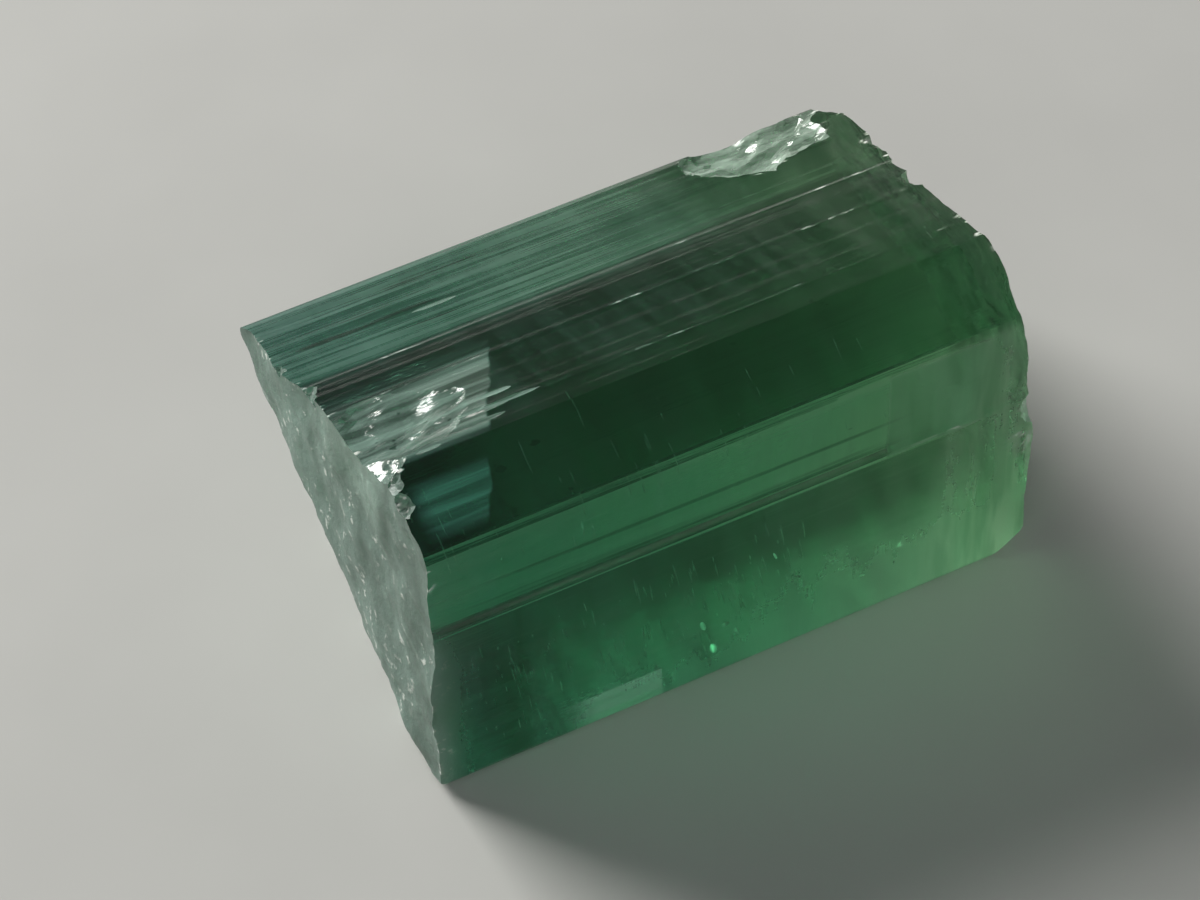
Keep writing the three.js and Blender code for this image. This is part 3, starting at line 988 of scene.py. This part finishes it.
class CrystalSettings(bpy.types.PropertyGroup):
    """Shape and optics of the crystal."""

    outline_step: FloatProperty(
        name="Outline step", description="Distance between points round the prism",
        default=0.00009, unit="LENGTH")
    rings: IntProperty(name="Rings", description="Points along the prism", default=110)
    groove_depth: FloatProperty(
        name="Groove depth", description="Depth of the fine grooves that run along the prism",
        default=0.000022, unit="LENGTH")
    groove_pitch: FloatProperty(
        name="Groove pitch", description="Distance from one fine groove to the next",
        default=0.00042, unit="LENGTH")
    swell_depth: FloatProperty(
        name="Swell depth", description="Depth of the broad hollows of the side faces",
        default=0.00005, unit="LENGTH")
    refraction: FloatProperty(
        name="Refraction", description="Index of refraction of tourmaline", default=1.63)
    absorption: FloatProperty(
        name="Absorption", description="Absorption density for each metre of path", default=190.0)


class StageSettings(bpy.types.PropertyGroup):
    """Floor, light and camera."""

    azimuth: FloatProperty(
        name="Azimuth", description="Turn of the camera round the crystal",
        default=math.radians(-27), subtype="ANGLE")
    elevation: FloatProperty(
        name="Elevation", description="Height of the camera above the floor, as an angle",
        default=math.radians(50), subtype="ANGLE")
    distance: FloatProperty(
        name="Distance", description="From the camera to the point that it looks at",
        default=0.087, unit="LENGTH")
    target: FloatVectorProperty(
        name="Target", description="Point that the camera looks at",
        default=(-0.00266, -0.00226, 0.00614), subtype="TRANSLATION")
    lens: FloatProperty(
        name="Lens", description="Focal length of the camera, in millimetres", default=90.0)
    world: FloatProperty(name="World", description="Brightness of the even light all round", default=0.12)


# The floor's half side and its gap below the crystal, in mm; the even light's colour; and the
# lights, with places and sizes in metres.
FLOOR_HALF, FLOOR_GAP = 1200.0, 0.02
SKY = (0.93, 0.97, 1.0, 1.0)
DAYLIGHT = (1.0, 0.99, 0.96)
LIGHTS = [
    dict(name="window", place=(-0.20, 0.51, 0.30), size=0.32, power=5.6),
    dict(name="fill", place=(-0.30, -0.50, 0.35), size=0.50, power=0.6),
]


class CRYSTAL_OT_make(bpy.types.Operator):
    """Make the broken, grooved crystal."""

    bl_idname = "crystal.make"
    bl_label = "Crystal"

    def execute(self, context):
        settings = context.scene.crystal
        noise.seed_set(BREAK_SEED)
        material = tourmaline_material(settings)
        obj = make_prism(settings, material)
        kind_slots(obj)
        cut(obj, between_breaks(BREAK_SPACING), "INTERSECT")
        for number, chip in enumerate(CHIPS):
            cut(obj, scoop(f"scoop_{number}", **chip), "DIFFERENCE")
        for number, place in enumerate(splinter_places()):
            cut(obj, splinter(number, *place), "DIFFERENCE")
        for number, bite in enumerate(bites()):
            cut(obj, scoop(f"bite_{number}", **bite), "DIFFERENCE")
        for number, corner in enumerate(CORNER_CUTS):
            cut(obj, beyond_cut(f"corner_{number}", **corner), "DIFFERENCE")
        marks_tree().put_on(obj, Material=material)
        mesh = bake(obj)
        while len(mesh.materials) > 1:
            mesh.materials.pop()
        centre_in_box(mesh, *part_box(NODE))
        mesh.shade_smooth()
        mesh.set_sharp_from_angle(angle=SHARP_ANGLE)
        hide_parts(NODE)
        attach(obj, "root")
        return {"FINISHED"}


class CRYSTAL_OT_veils(bpy.types.Operator):
    """Make the veils of fine needles and healed cracks that are sealed in the crystal."""

    bl_idname = "crystal.veils"
    bl_label = "Sealed veils"

    def execute(self, context):
        material = flaw_material()
        for name, veil in VEILS.items():
            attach(make_veil(name, material, **veil), "root")
        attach(make_flakes(material), "root")
        return {"FINISHED"}


class CRYSTAL_OT_stage(bpy.types.Operator):
    """Make the floor, the lights and the camera."""

    bl_idname = "crystal.stage"
    bl_label = "Stage"

    def execute(self, context):
        settings = context.scene.crystal_stage
        make_floor()
        make_lights(context.scene, settings)
        make_camera(context.scene, settings)
        return {"FINISHED"}


def make_floor():
    signs = ((-1, -1), (1, -1), (1, 1), (-1, 1))
    corners = [(x * FLOOR_HALF, y * FLOOR_HALF, 0) for x, y in signs]
    floor = add_object("floor", mesh_from("floor", corners, [(0, 1, 2, 3)]))
    floor.location.z = -FLOOR_GAP * MM
    floor.data.materials.append(floor_material())


def area_light(name, place, size, power):
    """Square soft light that faces the crystal."""
    data = bpy.data.lights.new(name, "AREA")
    data.size = size
    data.energy = power
    data.color = DAYLIGHT
    obj = add_object(name, data)
    obj.location = place
    obj.rotation_euler = (-Vector(place)).to_track_quat("-Z", "Y").to_euler()
    obj.visible_camera = False


def make_lights(scene, settings):
    world = bpy.data.worlds.new("studio")
    world.use_nodes = True
    backdrop = world.node_tree.nodes["Background"]
    backdrop.inputs["Color"].default_value = SKY
    backdrop.inputs["Strength"].default_value = settings.world
    scene.world = world
    for light in LIGHTS:
        area_light(**light)


def make_camera(scene, settings):
    data = bpy.data.cameras.new("camera")
    data.lens = settings.lens
    data.sensor_width = 36.0
    data.clip_start, data.clip_end = 0.001, 10.0
    camera = add_object("camera", data)
    a, e = settings.azimuth, settings.elevation
    back = Vector((math.sin(a) * math.cos(e), -math.cos(a) * math.cos(e), math.sin(e)))
    camera.location = Vector(settings.target) + back * settings.distance
    camera.rotation_euler = (-back).to_track_quat("-Z", "Y").to_euler()
    scene.camera = camera
    scene.view_settings.view_transform = "Standard"


class CRYSTAL_PT_panel(bpy.types.Panel):
    """Crystal tools in the sidebar."""

    bl_label = "Tourmaline crystal"
    bl_space_type = "VIEW_3D"
    bl_region_type = "UI"
    bl_category = "Crystal"

    def draw(self, context):
        layout = self.layout
        for group in (context.scene.crystal, context.scene.crystal_stage):
            column = layout.column()
            for name in group.__annotations__:
                column.prop(group, name)
        layout.operator("crystal.make")
        layout.operator("crystal.veils")
        layout.operator("crystal.stage")


CLASSES = (CrystalSettings, StageSettings, CRYSTAL_OT_make, CRYSTAL_OT_veils, CRYSTAL_OT_stage,
           CRYSTAL_PT_panel)


def register():
    for cls in CLASSES:
        bpy.utils.register_class(cls)
    bpy.types.Scene.crystal = PointerProperty(type=CrystalSettings)
    bpy.types.Scene.crystal_stage = PointerProperty(type=StageSettings)


def unregister():
    del bpy.types.Scene.crystal_stage
    del bpy.types.Scene.crystal
    for cls in reversed(CLASSES):
        bpy.utils.unregister_class(cls)


def main():
    register()
    bpy.ops.crystal.make()
    bpy.ops.crystal.veils()
    bpy.ops.crystal.stage()


if __name__ == "__main__":
    main()
